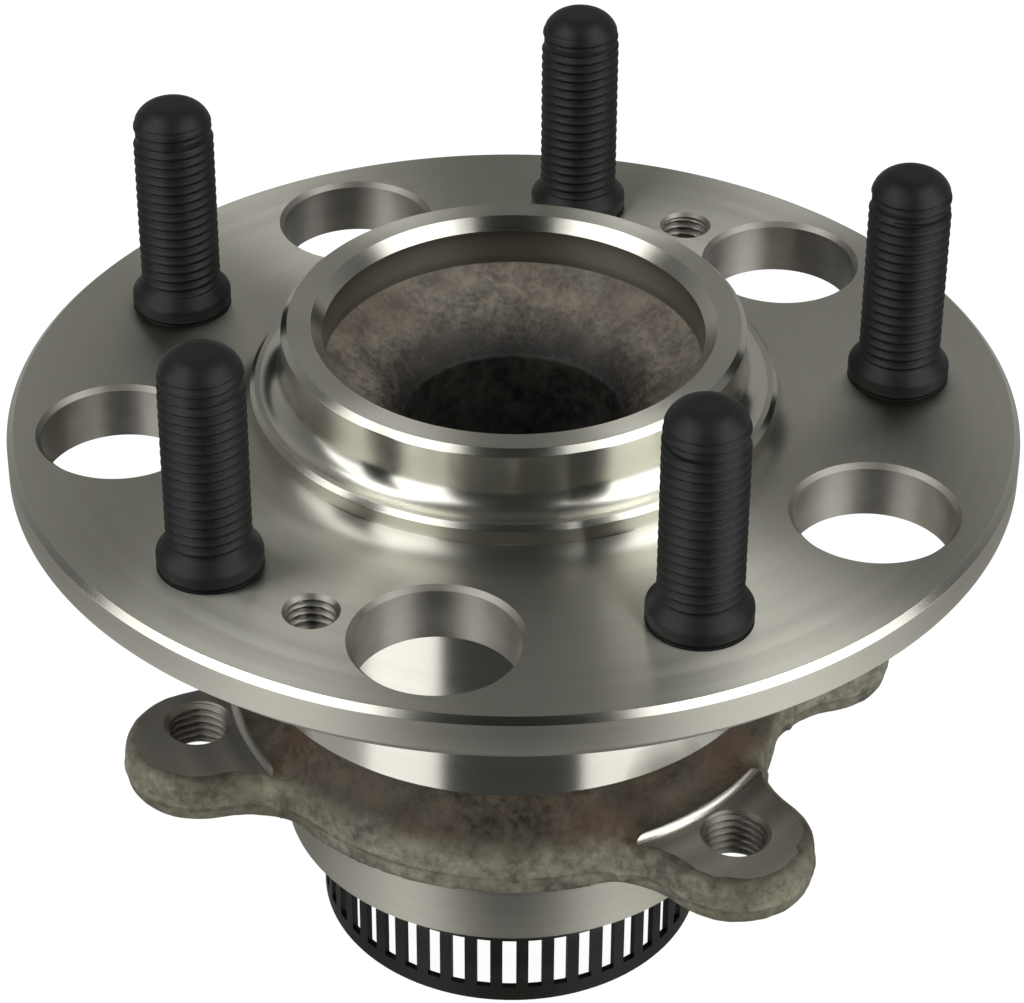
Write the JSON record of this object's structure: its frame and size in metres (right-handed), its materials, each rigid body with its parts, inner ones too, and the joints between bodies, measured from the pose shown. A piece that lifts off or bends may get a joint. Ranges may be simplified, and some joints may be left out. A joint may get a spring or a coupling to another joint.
{
  "type": "wheel hub bearing",
  "caption": "Flanged wheel hub on two rows of balls in a bolted outer ring, with wheel studs, pilots, seals and a slotted tone ring.",
  "frame": {"origin": "centre of the stud circle on the flange's wheel face, on the hub's axis", "axes": "+Z along the hub's axis, outboard towards the wheel; X and Y lie along the sides of the rectangle of knuckle bolts"},
  "size_m": [0.1468, 0.1468, 0.1246],
  "materials": {
    "hub_steel": "turned",
    "black_stud": "black oxide",
    "forged_ring": "forged and part machined",
    "race_steel": "ground",
    "ball_steel": "polished",
    "cage_plastic": "moulded",
    "seal_rubber": "matte",
    "seal_steel": "pressed sheet",
    "black_ring": "black phosphate"
  },
  "bodies": {
    "outer_ring": {"outer_ring": "forged_ring", "outboard_seal_case": "seal_steel", "outboard_seal_lip": "seal_rubber", "inboard_seal_case": "seal_steel", "inboard_seal_lip": "seal_rubber"},
    "hub": {"hub_spindle": "hub_steel", "wheel_stud_1": "black_stud", "wheel_stud_2": "black_stud", "wheel_stud_3": "black_stud", "wheel_stud_4": "black_stud", "wheel_stud_5": "black_stud", "inner_ring": "race_steel", "inboard_seal_slinger": "seal_steel", "tone_ring": "black_ring"},
    "outboard_train": {"outboard_cage": "cage_plastic", "outboard_ball_1": "ball_steel", "outboard_ball_2": "ball_steel", "outboard_ball_3": "ball_steel", "outboard_ball_4": "ball_steel", "outboard_ball_5": "ball_steel", "outboard_ball_6": "ball_steel", "outboard_ball_7": "ball_steel", "outboard_ball_8": "ball_steel", "outboard_ball_9": "ball_steel", "outboard_ball_10": "ball_steel", "outboard_ball_11": "ball_steel", "outboard_ball_12": "ball_steel", "outboard_ball_13": "ball_steel"},
    "inboard_train": {"inboard_cage": "cage_plastic", "inboard_ball_1": "ball_steel", "inboard_ball_2": "ball_steel", "inboard_ball_3": "ball_steel", "inboard_ball_4": "ball_steel", "inboard_ball_5": "ball_steel", "inboard_ball_6": "ball_steel", "inboard_ball_7": "ball_steel", "inboard_ball_8": "ball_steel", "inboard_ball_9": "ball_steel", "inboard_ball_10": "ball_steel", "inboard_ball_11": "ball_steel", "inboard_ball_12": "ball_steel", "inboard_ball_13": "ball_steel"}
  },
  "joints": [
    {"name": "hub_rotation", "type": "hinge", "parent": "outer_ring", "child": "hub", "pos_m": [0, 0, 0], "axis": [0, 0, 1], "continuous": true},
    {"name": "outboard_train_rotation", "type": "hinge", "parent": "outer_ring", "child": "outboard_train", "pos_m": [0, 0, -0.02615], "axis": [0, 0, 1], "continuous": true},
    {"name": "inboard_train_rotation", "type": "hinge", "parent": "outer_ring", "child": "inboard_train", "pos_m": [0, 0, -0.06025], "axis": [0, 0, 1], "continuous": true}
  ],
  "couplings": [
    {"joint": "outboard_train_rotation", "follows": "hub_rotation", "ratio": 0.4133},
    {"joint": "inboard_train_rotation", "follows": "hub_rotation", "ratio": 0.4126}
  ]
}
